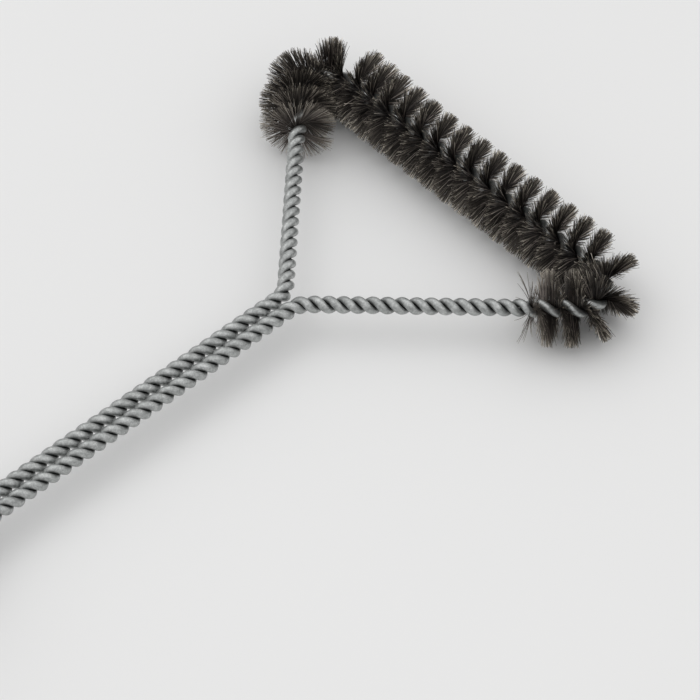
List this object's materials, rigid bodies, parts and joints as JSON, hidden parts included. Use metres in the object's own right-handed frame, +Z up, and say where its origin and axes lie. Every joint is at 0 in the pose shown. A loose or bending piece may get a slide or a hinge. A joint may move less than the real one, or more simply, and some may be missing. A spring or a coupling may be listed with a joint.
{
  "type": "grill cleaning brush",
  "caption": "Long-handled grill cleaning brush: twisted wire bent into a triangular head with a ring of steel bristles along its front and corners, and a moulded grip with a hanging hole.",
  "frame": {"origin": "centre of the bounding box in X and Y, on the plane that the lowest bristles and the grip stand on", "axes": "+X runs from the grip to the head's front run, +Y to the left arm, +Z up, square to the head's flat triangle"},
  "size_m": [0.46, 0.2089, 0.0344],
  "materials": {
    "core_wire": "satin",
    "bristle": "satin",
    "grip": "matte",
    "soft_pad": "matte",
    "fitting": "satin",
    "screw": "satin"
  },
  "bodies": {
    "root": {"bristle_fan_01": "bristle", "bristle_fan_02": "bristle", "bristle_fan_03": "bristle", "bristle_fan_04": "bristle", "bristle_fan_05": "bristle", "bristle_fan_06": "bristle", "bristle_fan_07": "bristle", "bristle_fan_08": "bristle", "bristle_fan_09": "bristle", "bristle_fan_10": "bristle", "bristle_fan_11": "bristle", "bristle_fan_12": "bristle", "bristle_fan_13": "bristle", "bristle_fan_14": "bristle", "bristle_fan_15": "bristle", "bristle_fan_16": "bristle", "bristle_fan_17": "bristle", "bristle_fan_18": "bristle", "bristle_fan_19": "bristle", "bristle_fan_20": "bristle", "bristle_fan_21": "bristle", "bristle_fan_22": "bristle", "bristle_fan_23": "bristle", "bristle_fan_24": "bristle", "bristle_fan_25": "bristle", "ferrule": "fitting", "grip_lower_shell": "grip", "grip_screw_1": "screw", "grip_screw_2": "screw", "grip_screw_3": "screw", "grip_screw_4": "screw", "grip_upper_shell": "grip", "hang_eyelet": "fitting", "soft_pad": "soft_pad", "wire_a_arm_left": "core_wire", "wire_a_arm_right": "core_wire", "wire_a_corner_left": "core_wire", "wire_a_corner_right": "core_wire", "wire_a_front": "core_wire", "wire_a_shaft_left": "core_wire", "wire_a_shaft_right": "core_wire", "wire_b_arm_left": "core_wire", "wire_b_arm_right": "core_wire", "wire_b_corner_left": "core_wire", "wire_b_corner_right": "core_wire", "wire_b_front": "core_wire", "wire_b_shaft_left": "core_wire", "wire_b_shaft_right": "core_wire", "wire_crimp": "fitting"}
  },
  "joints": []
}
